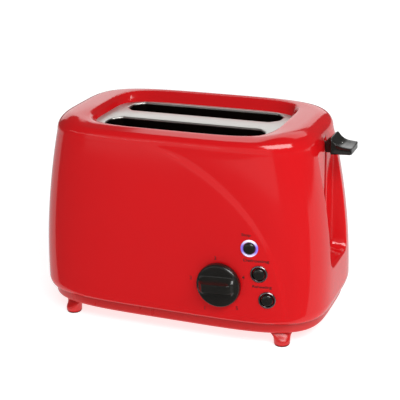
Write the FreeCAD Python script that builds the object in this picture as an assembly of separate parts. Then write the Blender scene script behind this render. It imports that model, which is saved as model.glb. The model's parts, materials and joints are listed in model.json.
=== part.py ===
import FreeCAD, Part
import math
import os

V = FreeCAD.Vector
X_DIR = V(1, 0, 0)
Y_DIR = V(0, 1, 0)
Z_DIR = V(0, 0, 1)

# Two-slice toaster in millimetres. It is drawn about the middle of its body, with the lever at +X and the
# controls facing -Y. The last step moves it so that the origin is under the middle of its whole outline.

# body of the housing: a rounded box whose plan is a superellipse
SEAM_HEIGHT = 23.6          # lower edge of the housing
TOP_HEIGHT = 185.1          # top of the housing
TOP_ROUNDING = 14.75        # radius of the edge between wall and top
HALF_LENGTH_LOW = 135.0
HALF_LENGTH_HIGH = 119.8
HALF_LENGTH_BULGE = 4.75
HALF_DEPTH_LOW = 78.4
HALF_DEPTH_HIGH = 69.8
HALF_DEPTH_BULGE = 0.57
ROUNDNESS_LOW = 4.27        # exponent of the superellipse
ROUNDNESS_HIGH = 3.92
WALL = 2.5
OUTLINE_POINTS = 48
WALL_STEPS = 8              # flat-sided bands up the wall
ROUNDING_STEPS = 6          # bands over the rounded edge

# opening in the top, and the steel plate in it
RIM_HALF = (85.5, 55.5)
LEDGE_HALF = (80.0, 43.0)
RIM_ROUNDNESS = 5.0
PLATE_TOP = 177.0
PLATE_THICK = 0.8
PLATE_GAP = 0.3
LEDGE_LIP = 2.6
PANEL_INNER = (77.0, 39.9)   # corner of the seams between the side and end panels, inside
PANEL_OUTER = (104.0, 80.0)  # and outside
SLOT_HALF_LENGTH = 71.0
SLOT_INNER = 11.0
SLOT_OUTER = 38.5
SLOT_CORNER = 8.0
SLOT_SKIRT = 12.0
SLOT_CENTRE = (SLOT_INNER + SLOT_OUTER) / 2

# lever channel in the +X end
CHANNEL_BACK = 121.0
CHANNEL_HALF_WIDTH = 27.0
CHANNEL_FLOOR = 61.0
ARM_SLOT_WIDTH = 4.0
ARM_SLOT_BOTTOM = 74.0
ARM_SLOT_TOP = 169.5

# base moulding, feet and crumb tray
BASE_BOTTOM = 12.0
BASE_FLOOR = 2.5
BASE_INSET = 4.5
BASE_LAP = 7.4
FOOT_PLACE = (101.0, 60.0)
FOOT_RADIUS = 7.2
PAD_RADIUS = 6.4
PAD_THICK = 1.2
SCREW_SEAT = 8.0
TRAY_HALF_LENGTH = 74.0
TRAY_FRONT = -48.0
TRAY_REAR = 70.0
TRAY_BOTTOM = 15.2
TRAY_SHEET = 0.8
TRAY_WALL = 5.0
TRAY_MOUTH = (14.5, 23.0)   # lowest and highest edge of the tray's mouth

# chassis, heaters and bread guides
CHASSIS_X = 79.0
CHASSIS_SHEET = 0.8
CHASSIS_HALF_DEPTH = 50.0
CHASSIS_BOTTOM = 24.0
CHASSIS_TOP = 170.0
SHIELD_SHEET = 0.5
HEATER_Y = 45.5
MICA = 0.8
HEATER_LOW = 52.0
HEATER_HIGH = 160.0
RIBBON = 0.4
RIBBON_WIDTH = 1.6
RIBBON_TURNS = 11
RIBBON_REACH = 72.0
RIBBON_MARGIN = 7.0
GUIDE_PIVOT_HEIGHT = 46.0
GUIDE_TOP_HEIGHT = 160.0
GUIDE_WIRE = 0.9
GUIDE_EDGE = 0.8            # how far each guide hangs inside its slot's edge
PIVOT_RADIUS = 1.0
PIVOT_CLEARANCE = 0.06

# lift carriage
RACK_TOP = 118.0
RACK_STRIP = (2.0, 6.0)     # thickness and height
RACK_HALF_WIDTH = 6.0
RACK_SLOT_WIDTH = 4.0
LIFT_TRAVEL = 80.0
ROD_X = 97.0
ROD_RADIUS = 2.5
ROD_CLEARANCE = 0.06
ARM_LOW = 159.5
ARM_HIGH = 167.5
ARM_THICK = 2.0
KNOB_INNER_X = 121.6
KNOB_OUTER_X = 146.0
KNOB_LOW = 158.0
KNOB_HIGH = 174.0
KNOB_HALF_WIDTH = 12.6
KNOB_NECK_HALF = 5.0
SPRING_Y = -14.0
SPRING_RADIUS = 3.1
SPRING_WIRE = 0.45
SPRING_TURNS = 13

# controls: places on the front wall, given as distance along X and height
DIAL_PLACE = (50.6, 56.6)
DIAL_RADIUS = 19.3
DIAL_GAP = 0.8
DIAL_DISC = 7.0
DIAL_GRIP = 13.6
DIAL_GRIP_WIDTH = 7.0
DIAL_GRIP_ANGLE = 2.5       # degrees above level, at rest
SHAFT_RADIUS = 3.0
SHAFT_CLEARANCE = 0.05
BUTTON_PLACES = {"cancel": (76.4, 91.3), "defrost": (84.7, 69.1), "reheat": (91.8, 46.2)}
BUTTON_RADIUS = 5.65
BUTTON_PROUD = 2.0
BUTTON_TRAVEL = 1.5
BEZEL_RADIUS = 7.8
BEZEL_HOLE = 6.0
BEZEL_SLEEVE = 7.0
BEZEL_PROUD = 1.0
BOARD_DEPTH = 14.0          # control board's front face, behind the wall's outer face
BOARD_THICK = 1.6
SWITCH_HEIGHT = 4.3

# cord inlet at the back
INLET_PLACE = (-66.0, 42.0)
INLET_BORE = 3.9
INLET_RADIUS = 8.0
INLET_HOLE = 6.2
INLET_LENGTH = 9.0

# middle of the whole outline, lever and dial included, from the middle of the body
OUTLINE_MIDDLE = V(5.4, -5.9, 0)


def box(low, high):
    size = [high[i] - low[i] for i in range(3)]
    return Part.makeBox(size[0], size[1], size[2], V(*low))


def rod(start, end, radius):
    line = end - start
    return Part.makeCylinder(radius, line.Length, start, line)


def join(shapes):
    whole = shapes[0]
    for shape in shapes[1:]:
        whole = whole.fuse(shape)
    return whole.removeSplitter()


def wall_share(height):
    return (height - SEAM_HEIGHT) / (TOP_HEIGHT - TOP_ROUNDING - SEAM_HEIGHT)


def half_length(height):
    share = wall_share(height)
    bulge = HALF_LENGTH_BULGE * 4 * share * (1 - share)
    return HALF_LENGTH_LOW + (HALF_LENGTH_HIGH - HALF_LENGTH_LOW) * share + bulge


def half_depth(height):
    share = wall_share(height)
    bulge = HALF_DEPTH_BULGE * 4 * share * (1 - share)
    return HALF_DEPTH_LOW + (HALF_DEPTH_HIGH - HALF_DEPTH_LOW) * share + bulge


def roundness(height):
    return ROUNDNESS_LOW + (ROUNDNESS_HIGH - ROUNDNESS_LOW) * wall_share(height)


def superellipse(half_x, half_y, exponent, height):
    """Closed outline |x/a|^n + |y/b|^n = 1 at one height."""
    points = []
    for step in range(OUTLINE_POINTS):
        angle = 2 * math.pi * (step + 0.5) / OUTLINE_POINTS
        along, across = math.cos(angle), math.sin(angle)
        reach = (abs(along) ** exponent + abs(across) ** exponent) ** (-1 / exponent)
        points.append(V(half_x * along * reach, half_y * across * reach, height))
    curve = Part.BSplineCurve()
    shares = [step / OUTLINE_POINTS for step in range(OUTLINE_POINTS + 1)]
    curve.interpolate(Points=points, Parameters=shares, PeriodicFlag=True)
    return Part.Wire([curve.toShape()])


def body_outline(height, inset):
    """Outline of the body at one height, drawn in by an inset."""
    return superellipse(half_length(height) - inset, half_depth(height) - inset, roundness(height), height)


def body_solid(inset, bottom):
    """The body's rounded solid, with its wall and top drawn in by an inset."""
    rounding_start = TOP_HEIGHT - TOP_ROUNDING
    radius = TOP_ROUNDING - inset
    outlines = []
    for step in range(WALL_STEPS):
        height = bottom + (rounding_start - bottom) * step / WALL_STEPS
        outlines.append(body_outline(height, inset))
    for step in range(ROUNDING_STEPS + 1):
        angle = math.radians(90 * step / ROUNDING_STEPS)
        height = rounding_start + radius * math.sin(angle)
        drawn_in = inset + radius * (1 - math.cos(angle))
        outlines.append(superellipse(HALF_LENGTH_HIGH - drawn_in, HALF_DEPTH_HIGH - drawn_in,
                                     ROUNDNESS_HIGH, height))
    return Part.makeLoft(outlines, True, True)


def front_height_y(along, height):
    """Y of the front wall's outer face."""
    exponent = roundness(height)
    share = 1 - abs(along / half_length(height)) ** exponent
    return -half_depth(height) * share ** (1 / exponent)


def front_placement(place):
    """Placement on the front wall: local +Z leaves the wall, +X runs right and +Y up."""
    along, height = place
    step = 0.5
    slope_x = (front_height_y(along + step, height) - front_height_y(along - step, height)) / (2 * step)
    slope_z = (front_height_y(along, height + step) - front_height_y(along, height - step)) / (2 * step)
    normal = V(slope_x, -1, slope_z)
    normal.normalize()
    turn = FreeCAD.Rotation(X_DIR, Z_DIR, normal, "ZXY")
    return FreeCAD.Placement(V(along, front_height_y(along, height), height), turn)


def placed(shape, placement):
    moved = shape.copy()
    moved.transformShape(placement.toMatrix())
    return moved


def slot_outline(side, grow, height):
    """One bread slot's outline with its corners cut off; side is -1 at the front and 1 at the back."""
    length = SLOT_HALF_LENGTH + grow
    low = SLOT_INNER - grow
    high = SLOT_OUTER + grow
    cut = SLOT_CORNER
    corners = [(-length + cut, low), (length - cut, low), (length, low + cut), (length, high - cut)]
    corners += [(length - cut, high), (-length + cut, high), (-length, high - cut), (-length, low + cut)]
    points = [V(x, side * y, height) for x, y in corners]
    return Part.Face(Part.makePolygon(points + points[:1]))


def slot_prism(side, grow, low, high):
    return slot_outline(side, grow, low).extrude(V(0, 0, high - low))


def make_recess(grow, low):
    """Space above the steel plate: it narrows from the rim down to the ledge."""
    rise = TOP_HEIGHT - PLATE_TOP
    wide = superellipse(RIM_HALF[0] + grow, RIM_HALF[1] + grow, RIM_ROUNDNESS, TOP_HEIGHT)
    narrow = superellipse(LEDGE_HALF[0] + grow, LEDGE_HALF[1] + grow, RIM_ROUNDNESS, PLATE_TOP)
    lean_x = (RIM_HALF[0] - LEDGE_HALF[0]) / rise
    lean_y = (RIM_HALF[1] - LEDGE_HALF[1]) / rise
    above = 2.0
    top = superellipse(RIM_HALF[0] + grow + lean_x * above, RIM_HALF[1] + grow + lean_y * above,
                       RIM_ROUNDNESS, TOP_HEIGHT + above)
    space = Part.makeLoft([narrow, wide, top], True, True)
    if low < PLATE_TOP:
        foot = superellipse(LEDGE_HALF[0] + grow, LEDGE_HALF[1] + grow, RIM_ROUNDNESS, low)
        space = space.fuse(Part.makeLoft([foot, narrow], True, True))
    return space


def screw_bosses():
    """Posts that take the screws from below, trimmed to the base, each tied to the end wall by a rib."""
    bosses = []
    inside_base = Part.Face(base_outline(0, BASE_INSET + WALL + 0.4)).extrude(V(0, 0, 60))
    for sign_x in (-1, 1):
        for sign_y in (-1, 1):
            centre = V(sign_x * FOOT_PLACE[0], sign_y * FOOT_PLACE[1], BASE_BOTTOM + BASE_FLOOR + 1.0)
            bosses.append(Part.makeCylinder(4.5, 24.0, centre).common(inside_base))
            rib_x = sorted((centre.x, sign_x * (HALF_LENGTH_LOW - 1.0)))
            rib_low = SEAM_HEIGHT + BASE_LAP + 1
            bosses.append(box((rib_x[0], centre.y - 1, rib_low), (rib_x[1], centre.y + 1, rib_low + 7)))
    return bosses


def make_housing():
    outer = body_solid(0, SEAM_HEIGHT)
    channel = box((CHANNEL_BACK, -CHANNEL_HALF_WIDTH, CHANNEL_FLOOR), (160, CHANNEL_HALF_WIDTH, 200))
    liner = box((CHANNEL_BACK - WALL, -CHANNEL_HALF_WIDTH - WALL, CHANNEL_FLOOR - WALL),
                (160, CHANNEL_HALF_WIDTH + WALL, 200))
    hollow = body_solid(WALL, SEAM_HEIGHT - 1).cut(liner)
    hollow = hollow.cut(make_recess(WALL, PLATE_TOP - PLATE_THICK - LEDGE_LIP))
    shell = outer.cut(hollow)
    bosses = [boss.common(body_solid(0.5, SEAM_HEIGHT - 12)) for boss in screw_bosses()]
    shell = shell.multiFuse(bosses)
    shell = shell.cut(channel)
    shell = shell.cut(make_recess(0, PLATE_TOP - PLATE_THICK))
    lip = superellipse(LEDGE_HALF[0] - 3, LEDGE_HALF[1] - 3, RIM_ROUNDNESS, PLATE_TOP - 12)
    shell = shell.cut(Part.Face(lip).extrude(V(0, 0, 14)))
    cuts = [box((CHANNEL_BACK - 8, -ARM_SLOT_WIDTH / 2, ARM_SLOT_BOTTOM),
                (CHANNEL_BACK + 4, ARM_SLOT_WIDTH / 2, ARM_SLOT_TOP))]
    cuts.append(placed(Part.makeCylinder(4.5, 12, V(0, 0, -8)), front_placement(DIAL_PLACE)))
    for place in BUTTON_PLACES.values():
        cuts.append(placed(Part.makeCylinder(BEZEL_SLEEVE, 12, V(0, 0, -8)), front_placement(place)))
    inlet = V(INLET_PLACE[0], 60, INLET_PLACE[1])
    cuts.append(Part.makeCylinder(INLET_HOLE, 30, inlet, Y_DIR))
    for sign_x in (-1, 1):
        for sign_y in (-1, 1):
            cuts.append(Part.makeCylinder(1.75, 30, V(sign_x * FOOT_PLACE[0], sign_y * FOOT_PLACE[1], 8)))
    for side in (-1, 1):                                   # room for the plate's skirts
        cuts.append(slot_prism(side, PLATE_THICK + PLATE_GAP, PLATE_TOP - SLOT_SKIRT, TOP_HEIGHT))
    for cutter in cuts:
        shell = shell.cut(cutter)
    return shell


def side_prism(side):
    """Space that holds the front (-1) or rear (1) panel; it narrows inwards to the top opening's corners."""
    corners = [(-PANEL_OUTER[0], PANEL_OUTER[1]), (-PANEL_INNER[0], PANEL_INNER[1])]
    corners += [(PANEL_INNER[0], PANEL_INNER[1]), (PANEL_OUTER[0], PANEL_OUTER[1])]
    corners += [(PANEL_OUTER[0], 100.0), (-PANEL_OUTER[0], 100.0)]
    points = [V(x, side * y, 0) for x, y in corners]
    return Part.Face(Part.makePolygon(points + points[:1])).extrude(V(0, 0, 200))


def split_housing():
    """The housing as its front, rear and two end panels, and the liner of the lever channel."""
    shell = make_housing()
    half = CHANNEL_HALF_WIDTH + WALL
    liner_space = box((CHANNEL_BACK - WALL - 0.01, -half, CHANNEL_FLOOR - WALL), (160, half, ARM_SLOT_TOP + 2))
    rest = shell.cut(liner_space)
    front_space = side_prism(-1)
    rear_space = side_prism(1)
    ends = rest.cut(front_space).cut(rear_space)
    parts = {"housing_front": rest.common(front_space), "housing_rear": rest.common(rear_space)}
    parts["housing_left_end"] = ends.common(box((-200, -100, 0), (0, 100, 200)))
    parts["housing_right_end"] = ends.common(box((0, -100, 0), (200, 100, 200)))
    parts["lever_channel"] = shell.common(liner_space)
    return parts


def make_slot_plate():
    outline = superellipse(LEDGE_HALF[0] - PLATE_GAP, LEDGE_HALF[1] - PLATE_GAP, RIM_ROUNDNESS,
                           PLATE_TOP - PLATE_THICK)
    plate = Part.Face(outline).extrude(V(0, 0, PLATE_THICK))
    skirt_bottom = PLATE_TOP - SLOT_SKIRT
    for side in (-1, 1):
        skirt = slot_prism(side, PLATE_THICK, skirt_bottom, PLATE_TOP - PLATE_THICK / 2)
        plate = plate.fuse(skirt)
    for side in (-1, 1):
        plate = plate.cut(slot_prism(side, 0, skirt_bottom - 1, PLATE_TOP + 1))
    return plate.removeSplitter()


def base_outline(height, inset):
    half_x = half_length(SEAM_HEIGHT) - inset
    half_y = half_depth(SEAM_HEIGHT) - inset
    return superellipse(half_x, half_y, ROUNDNESS_LOW, height)


def make_base():
    """Tray-shaped moulding that closes the housing from below and carries everything inside it."""
    top = SEAM_HEIGHT + BASE_LAP
    floor = BASE_BOTTOM + BASE_FLOOR
    outer = Part.Face(base_outline(BASE_BOTTOM, BASE_INSET)).extrude(V(0, 0, top - BASE_BOTTOM))
    hollow = Part.Face(base_outline(floor, BASE_INSET + WALL)).extrude(V(0, 0, top))
    hollow = hollow.cut(Part.makeCylinder(5.0, 9.0, V(ROD_X, 0, floor - 1)))
    for sign in (-1, 1):                                   # rails that guide the tray and carry the chassis
        rail_x = sorted((sign * (TRAY_HALF_LENGTH + 1.0), sign * (CHASSIS_X + CHASSIS_SHEET + 0.2)))
        hollow = hollow.cut(box((rail_x[0], -52, floor - 1), (rail_x[1], 64, CHASSIS_BOTTOM)))
    base = outer.cut(hollow)
    mouth_half = TRAY_HALF_LENGTH + 0.8
    cuts = [box((-mouth_half, 50, TRAY_MOUTH[0] + 0.01), (mouth_half, 90, TRAY_MOUTH[1]))]
    cuts.append(Part.makeCylinder(ROD_RADIUS, 12, V(ROD_X, 0, BASE_BOTTOM + 4)))
    for sign_x in (-1, 1):
        for sign_y in (-1, 1):
            centre = V(sign_x * FOOT_PLACE[0], sign_y * FOOT_PLACE[1], BASE_BOTTOM - 1)
            cuts.append(Part.makeCylinder(1.8, BASE_FLOOR + 2, centre))
    for row in (-1, 0, 1):                                 # long air slots under the tray
        cuts.append(box((-60, row * 20 - 2, BASE_BOTTOM - 1), (60, row * 20 + 2, floor + 1)))
    for cutter in cuts:
        base = base.cut(cutter)
    return base


def make_feet():
    """Tapered feet that flare where they meet the base; each has a well for its screw."""
    profile = [(1.8, SCREW_SEAT), (4.4, SCREW_SEAT), (4.4, PAD_THICK), (PAD_RADIUS, PAD_THICK)]
    profile += [(PAD_RADIUS, PAD_THICK / 2), (FOOT_RADIUS, PAD_THICK / 2), (FOOT_RADIUS + 0.8, 7.5)]
    profile += [(FOOT_RADIUS + 2.6, BASE_BOTTOM), (1.8, BASE_BOTTOM)]
    points = [V(radius, 0, height) for radius, height in profile]
    return at_feet(Part.Face(Part.makePolygon(points + points[:1])).revolve(V(0, 0, 0), Z_DIR, 360))


def at_feet(shape):
    group = []
    for sign_x in (-1, 1):
        for sign_y in (-1, 1):
            solid = shape.copy()
            solid.translate(V(sign_x * FOOT_PLACE[0], sign_y * FOOT_PLACE[1], 0))
            group.append(solid)
    return Part.makeCompound(group)


def make_foot_pads():
    pad = Part.makeCylinder(PAD_RADIUS, PAD_THICK).cut(Part.makeCylinder(4.4, PAD_THICK))
    return at_feet(pad)


def make_base_screws():
    head = Part.makeCylinder(4.0, 2.4, V(0, 0, SCREW_SEAT - 2.4))
    cross_end = SCREW_SEAT - 1.2
    cross = join([box((-2, -0.5, 0), (2, 0.5, cross_end)), box((-0.5, -2, 0), (0.5, 2, cross_end))])
    screw = head.cut(cross).fuse(Part.makeCylinder(1.7, 24, V(0, 0, SCREW_SEAT)))
    return at_feet(screw)


def make_crumb_tray():
    outer = box((-TRAY_HALF_LENGTH, TRAY_FRONT, TRAY_BOTTOM),
                (TRAY_HALF_LENGTH, TRAY_REAR, TRAY_BOTTOM + TRAY_WALL))
    inner = box((-TRAY_HALF_LENGTH + TRAY_SHEET, TRAY_FRONT + TRAY_SHEET, TRAY_BOTTOM + TRAY_SHEET),
                (TRAY_HALF_LENGTH - TRAY_SHEET, TRAY_REAR - TRAY_SHEET, TRAY_BOTTOM + TRAY_WALL + 1))
    return outer.cut(inner)


def make_crumb_tray_grip():
    """Moulded grip on the tray's outer edge, with a finger scoop under it."""
    low = TRAY_MOUTH[0] + 0.3
    high = TRAY_MOUTH[1] - 0.4
    grip = box((-TRAY_HALF_LENGTH, TRAY_REAR, low), (TRAY_HALF_LENGTH, 78.5, high))
    scoop = Part.makeCylinder(8, 60, V(-30, 79, low - 3.5), X_DIR)
    return grip.cut(scoop)


def make_chassis_plate(sign):
    """End wall of the bread chamber, with slots for the racks and holes for the guides' pivots."""
    inner = sign * CHASSIS_X
    outer = sign * (CHASSIS_X + CHASSIS_SHEET)
    low, high = min(inner, outer), max(inner, outer)
    plate = box((low, -CHASSIS_HALF_DEPTH, CHASSIS_BOTTOM), (high, CHASSIS_HALF_DEPTH, CHASSIS_TOP))
    cuts = []
    slot_low = RACK_TOP - RACK_STRIP[1] - LIFT_TRAVEL - 2
    for side in (-1, 1):
        centre = side * SLOT_CENTRE
        cuts.append(box((low - 1, centre - RACK_SLOT_WIDTH / 2, slot_low),
                        (high + 1, centre + RACK_SLOT_WIDTH / 2, RACK_TOP + 2)))
        for y in guide_lines(side):
            pivot = V(low - 1, y, GUIDE_PIVOT_HEIGHT)
            cuts.append(Part.makeCylinder(PIVOT_RADIUS + PIVOT_CLEARANCE, 4, pivot, X_DIR))
    if sign > 0:
        tab = box((CHASSIS_X, -20, CHASSIS_TOP - 1.2), (ROD_X + 6, 8, CHASSIS_TOP))
        plate = plate.fuse(tab)
        cuts.append(Part.makeCylinder(ROD_RADIUS, 6, V(ROD_X, 0, CHASSIS_TOP - 3)))
    for cutter in cuts:
        plate = plate.cut(cutter)
    return plate


def make_heat_shield(side):
    face = side * CHASSIS_HALF_DEPTH
    back = face + side * SHIELD_SHEET
    low, high = min(face, back), max(face, back)
    reach = CHASSIS_X + CHASSIS_SHEET
    shield = box((-reach, low, CHASSIS_BOTTOM + 4), (reach, high, CHASSIS_TOP - 4))
    for column in range(-3, 4):                           # pressed air slots
        centre = column * 20
        shield = shield.cut(box((centre - 6, low - 1, 34), (centre + 6, high + 1, 37)))
        shield = shield.cut(box((centre - 6, low - 1, 158), (centre + 6, high + 1, 161)))
    return shield


def make_heater_board(y):
    return box((-CHASSIS_X + 0.3, y - MICA / 2, HEATER_LOW), (CHASSIS_X - 0.3, y + MICA / 2, HEATER_HIGH))


def make_heating_wire(y):
    """Flat resistance ribbon wound round a mica board: loops joined by short steps at alternate ends."""
    spacing = (HEATER_HIGH - HEATER_LOW - 2 * RIBBON_MARGIN) / (RIBBON_TURNS - 1)
    windings = []
    for near in (y - MICA / 2 - RIBBON, y + MICA / 2):
        pieces = []
        for turn in range(RIBBON_TURNS):
            low = HEATER_LOW + RIBBON_MARGIN + spacing * turn
            high = low + RIBBON_WIDTH
            pieces.append(box((-RIBBON_REACH, near, low), (RIBBON_REACH, near + RIBBON, high)))
            if turn < RIBBON_TURNS - 1:
                end = RIBBON_REACH if turn % 2 else -RIBBON_REACH
                step = RIBBON_WIDTH / 2
                pieces.append(box((end - step, near, low), (end + step, near + RIBBON, high + spacing)))
        windings.append(join(pieces))
    return Part.makeCompound(windings)


def guide_lines(side):
    """Y of the two guides beside one slot."""
    return (side * (SLOT_INNER + GUIDE_EDGE), side * (SLOT_OUTER - GUIDE_EDGE))


def make_bread_guide(y):
    reach = CHASSIS_X + CHASSIS_SHEET + 0.8
    wires = [rod(V(-reach, y, GUIDE_PIVOT_HEIGHT), V(reach, y, GUIDE_PIVOT_HEIGHT), PIVOT_RADIUS)]
    wires.append(rod(V(-67, y, GUIDE_TOP_HEIGHT), V(67, y, GUIDE_TOP_HEIGHT), GUIDE_WIRE))
    for column in range(-4, 5):
        x = column * 16.5
        wires.append(rod(V(x, y, GUIDE_PIVOT_HEIGHT), V(x, y, GUIDE_TOP_HEIGHT), GUIDE_WIRE * 0.9))
    return join(wires)


def make_bread_rack(side):
    """Strip with cross fingers that carries one slice; its ends run in the chassis slots."""
    y = side * SLOT_CENTRE
    thick, tall = RACK_STRIP
    strip = box((-CHASSIS_X - 4, y - thick / 2, RACK_TOP - tall), (ROD_X - 9, y + thick / 2, RACK_TOP - 1))
    pieces = [strip]
    for column in range(-4, 5):
        x = column * 16 + 4
        pieces.append(box((x - 0.8, y - RACK_HALF_WIDTH, RACK_TOP - 1.6),
                          (x + 0.8, y + RACK_HALF_WIDTH, RACK_TOP)))
    return join(pieces)


def make_carriage():
    """Lift carriage: sleeve on the guide rod, cross bar to both racks, post up to the lever arm."""
    low = RACK_TOP - RACK_STRIP[1] - 2
    sleeve = Part.makeCylinder(6.0, 18, V(ROD_X, 0, low))
    bar = box((ROD_X - 11, -30, low + 2), (ROD_X - 9, 30, low + 14))
    web = box((ROD_X - 10, -4, low + 1), (ROD_X - 4, 4, low + 14))
    post = box((ROD_X + 5.2, -8, low), (ROD_X + 7.4, 8, ARM_HIGH + 0.4))
    ear = box((ROD_X - 10, SPRING_Y - 4, RACK_TOP + 2), (ROD_X + 3, SPRING_Y + 4, RACK_TOP + 3.6))
    shelf = box((ROD_X + 2, 6, RACK_TOP - 2.7), (ROD_X + 19.5, 26, RACK_TOP - 0.7))
    carriage = join([sleeve, bar, web, post, ear, shelf])
    carriage = carriage.cut(Part.makeCylinder(ROD_RADIUS + ROD_CLEARANCE, 40, V(ROD_X, 0, low - 5)))
    for side in (-1, 1):
        y = side * SLOT_CENTRE
        thick, tall = RACK_STRIP
        socket = box((ROD_X - 13, y - thick / 2, RACK_TOP - tall), (ROD_X - 9, y + thick / 2, RACK_TOP - 1))
        carriage = carriage.cut(socket)
    arm_seat = box((ROD_X + 4, -ARM_THICK / 2, ARM_LOW), (ROD_X + 9, ARM_THICK / 2, ARM_HIGH))
    return carriage.cut(arm_seat)


def make_lever_arm():
    return box((ROD_X + 5.2, -ARM_THICK / 2, ARM_LOW), (KNOB_INNER_X + 14, ARM_THICK / 2, ARM_HIGH))


def make_lever_knob():
    """Finger lever: a neck outside the end wall that widens to a dished top."""
    profile = [V(KNOB_INNER_X, 0, ARM_LOW - 1), V(KNOB_INNER_X, 0, ARM_HIGH + 1)]
    profile += [V(KNOB_INNER_X + 3.5, 0, KNOB_HIGH - 2), V(KNOB_INNER_X + 6, 0, KNOB_HIGH)]
    outer_top = V(KNOB_OUTER_X, 0, KNOB_HIGH - 6.6)
    dish = Part.Arc(profile[-1], V(KNOB_OUTER_X - 8.5, 0, KNOB_HIGH - 6.0), outer_top)
    low_outer = V(KNOB_OUTER_X - 0.6, 0, KNOB_LOW + 2.2)
    low_inner = V(KNOB_INNER_X + 5, 0, KNOB_LOW)
    edges = [Part.LineSegment(profile[i], profile[i + 1]).toShape() for i in range(3)]
    edges.append(dish.toShape())
    edges.append(Part.LineSegment(outer_top, low_outer).toShape())
    edges.append(Part.LineSegment(low_outer, low_inner).toShape())
    edges.append(Part.LineSegment(low_inner, profile[0]).toShape())
    face = Part.Face(Part.Wire(edges))
    side_view = face.extrude(V(0, 2 * KNOB_HALF_WIDTH, 0))
    side_view.translate(V(0, -KNOB_HALF_WIDTH, 0))
    neck = -KNOB_NECK_HALF
    plan = [V(KNOB_INNER_X - 1, neck, 0), V(KNOB_INNER_X + 4.5, neck, 0)]
    plan.append(V(KNOB_INNER_X + 6, -KNOB_HALF_WIDTH, 0))
    plan += [V(KNOB_OUTER_X - 5, -KNOB_HALF_WIDTH, 0), V(KNOB_OUTER_X, -KNOB_HALF_WIDTH + 2, 0)]
    plan += [V(point.x, -point.y, 0) for point in reversed(plan)]
    plan_face = Part.Face(Part.makePolygon(plan + plan[:1]))
    plan_view = plan_face.extrude(V(0, 0, 200))
    knob = side_view.common(plan_view)
    seat = box((KNOB_INNER_X - 2, -ARM_THICK / 2, ARM_LOW), (KNOB_INNER_X + 14, ARM_THICK / 2, ARM_HIGH))
    return knob.cut(seat)


def make_armature_plate():
    top = RACK_TOP - 2.7
    return box((ROD_X + 3, 9, top - 2), (ROD_X + 19.5, 26, top))


def make_guide_rod():
    return Part.makeCylinder(ROD_RADIUS, CHASSIS_TOP - BASE_BOTTOM - 4, V(ROD_X, 0, BASE_BOTTOM + 4))


def make_lift_spring():
    """Extension spring from the chassis tab down to the carriage's ear."""
    bottom = RACK_TOP + 3.6 + SPRING_WIRE + 1.2
    height = CHASSIS_TOP - 1.2 - SPRING_WIRE - 1.2 - bottom
    path = Part.makeHelix(height / SPRING_TURNS, height, SPRING_RADIUS)
    start = V(SPRING_RADIUS, 0, 0)
    profile = Part.Wire(Part.makeCircle(SPRING_WIRE, start, Y_DIR))
    coil = Part.Wire(path).makePipeShell([profile], True, True)
    coil.translate(V(ROD_X, SPRING_Y, bottom))
    foot = Part.makeCylinder(SPRING_WIRE, 1.8, V(ROD_X + SPRING_RADIUS, SPRING_Y, bottom - 1.6))
    head = Part.makeCylinder(SPRING_WIRE, 1.8, V(ROD_X + SPRING_RADIUS, SPRING_Y, bottom + height - 0.2))
    return coil.fuse(foot).fuse(head)


def magnet_axis():
    return V(ROD_X + 9, 17.5, 0)


def make_magnet_core():
    centre = magnet_axis()
    top = RACK_TOP - 4.7 - LIFT_TRAVEL - 0.3
    low = BASE_BOTTOM + BASE_FLOOR
    post = Part.makeCylinder(4.0, top - low, centre + V(0, 0, low))
    yoke = box((centre.x - 7, centre.y - 8, low), (centre.x + 10.5, centre.y + 8, low + 3))
    leg = box((centre.x + 8.3, centre.y - 6, low), (centre.x + 10.5, centre.y + 6, top))
    return join([post, yoke, leg])


def make_magnet_coil():
    centre = magnet_axis()
    low = BASE_BOTTOM + BASE_FLOOR + 3.4
    flange = Part.makeCylinder(7.8, 1, centre + V(0, 0, low))
    winding = Part.makeCylinder(7.0, 13, centre + V(0, 0, low))
    top = Part.makeCylinder(7.8, 1, centre + V(0, 0, low + 12))
    return join([flange, winding, top]).cut(Part.makeCylinder(4.15, 30, centre + V(0, 0, 5)))


def make_power_board():
    """Board on the base that takes the mains leads and carries the switch."""
    low = BASE_BOTTOM + BASE_FLOOR + 2
    board = box((ROD_X - 14, -48, low), (ROD_X + 12, -8, low + BOARD_THICK))
    posts = []
    for x in (ROD_X - 11, ROD_X + 9):
        for y in (-45, -11):
            posts.append(Part.makeCylinder(2.5, 2, V(x, y, low - 2)))
    terminal = box((ROD_X - 12, -46, low + BOARD_THICK), (ROD_X - 2, -32, low + BOARD_THICK + 9))
    capacitor = Part.makeCylinder(5, 14, V(ROD_X + 5, -38, low + BOARD_THICK))
    return join([board, terminal, capacitor] + posts)


def make_main_switch():
    """Switch block with two leaf contacts that the carriage's ear presses together."""
    low = BASE_BOTTOM + BASE_FLOOR + 2 + BOARD_THICK
    block = box((ROD_X - 4, -26, low), (ROD_X + 6, -10, low + 12))
    leaf_top = RACK_TOP + 2 - LIFT_TRAVEL - 0.4
    leaves = [box((ROD_X - 3, -17, low + 6), (ROD_X + 1, -16.4, leaf_top))]
    leaves.append(box((ROD_X + 3, -19, low + 6), (ROD_X + 5, -18.4, leaf_top - 3)))
    return join([block] + leaves)


def make_control_board():
    """Board behind the front wall, parallel to the dial; drawn in the dial's own frame."""
    board = box((-22, -26, -BOARD_DEPTH - BOARD_THICK), (44.5, 46, -BOARD_DEPTH))
    board = board.cut(Part.makeCylinder(3.9, 10, V(0, 0, -BOARD_DEPTH - 5)))
    for corner in ((-18, -22), (-18, 42), (26, 42)):
        board = board.cut(Part.makeCylinder(1.6, 10, V(corner[0], corner[1], -BOARD_DEPTH - 5)))
    return placed(board, front_placement(DIAL_PLACE))


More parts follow.
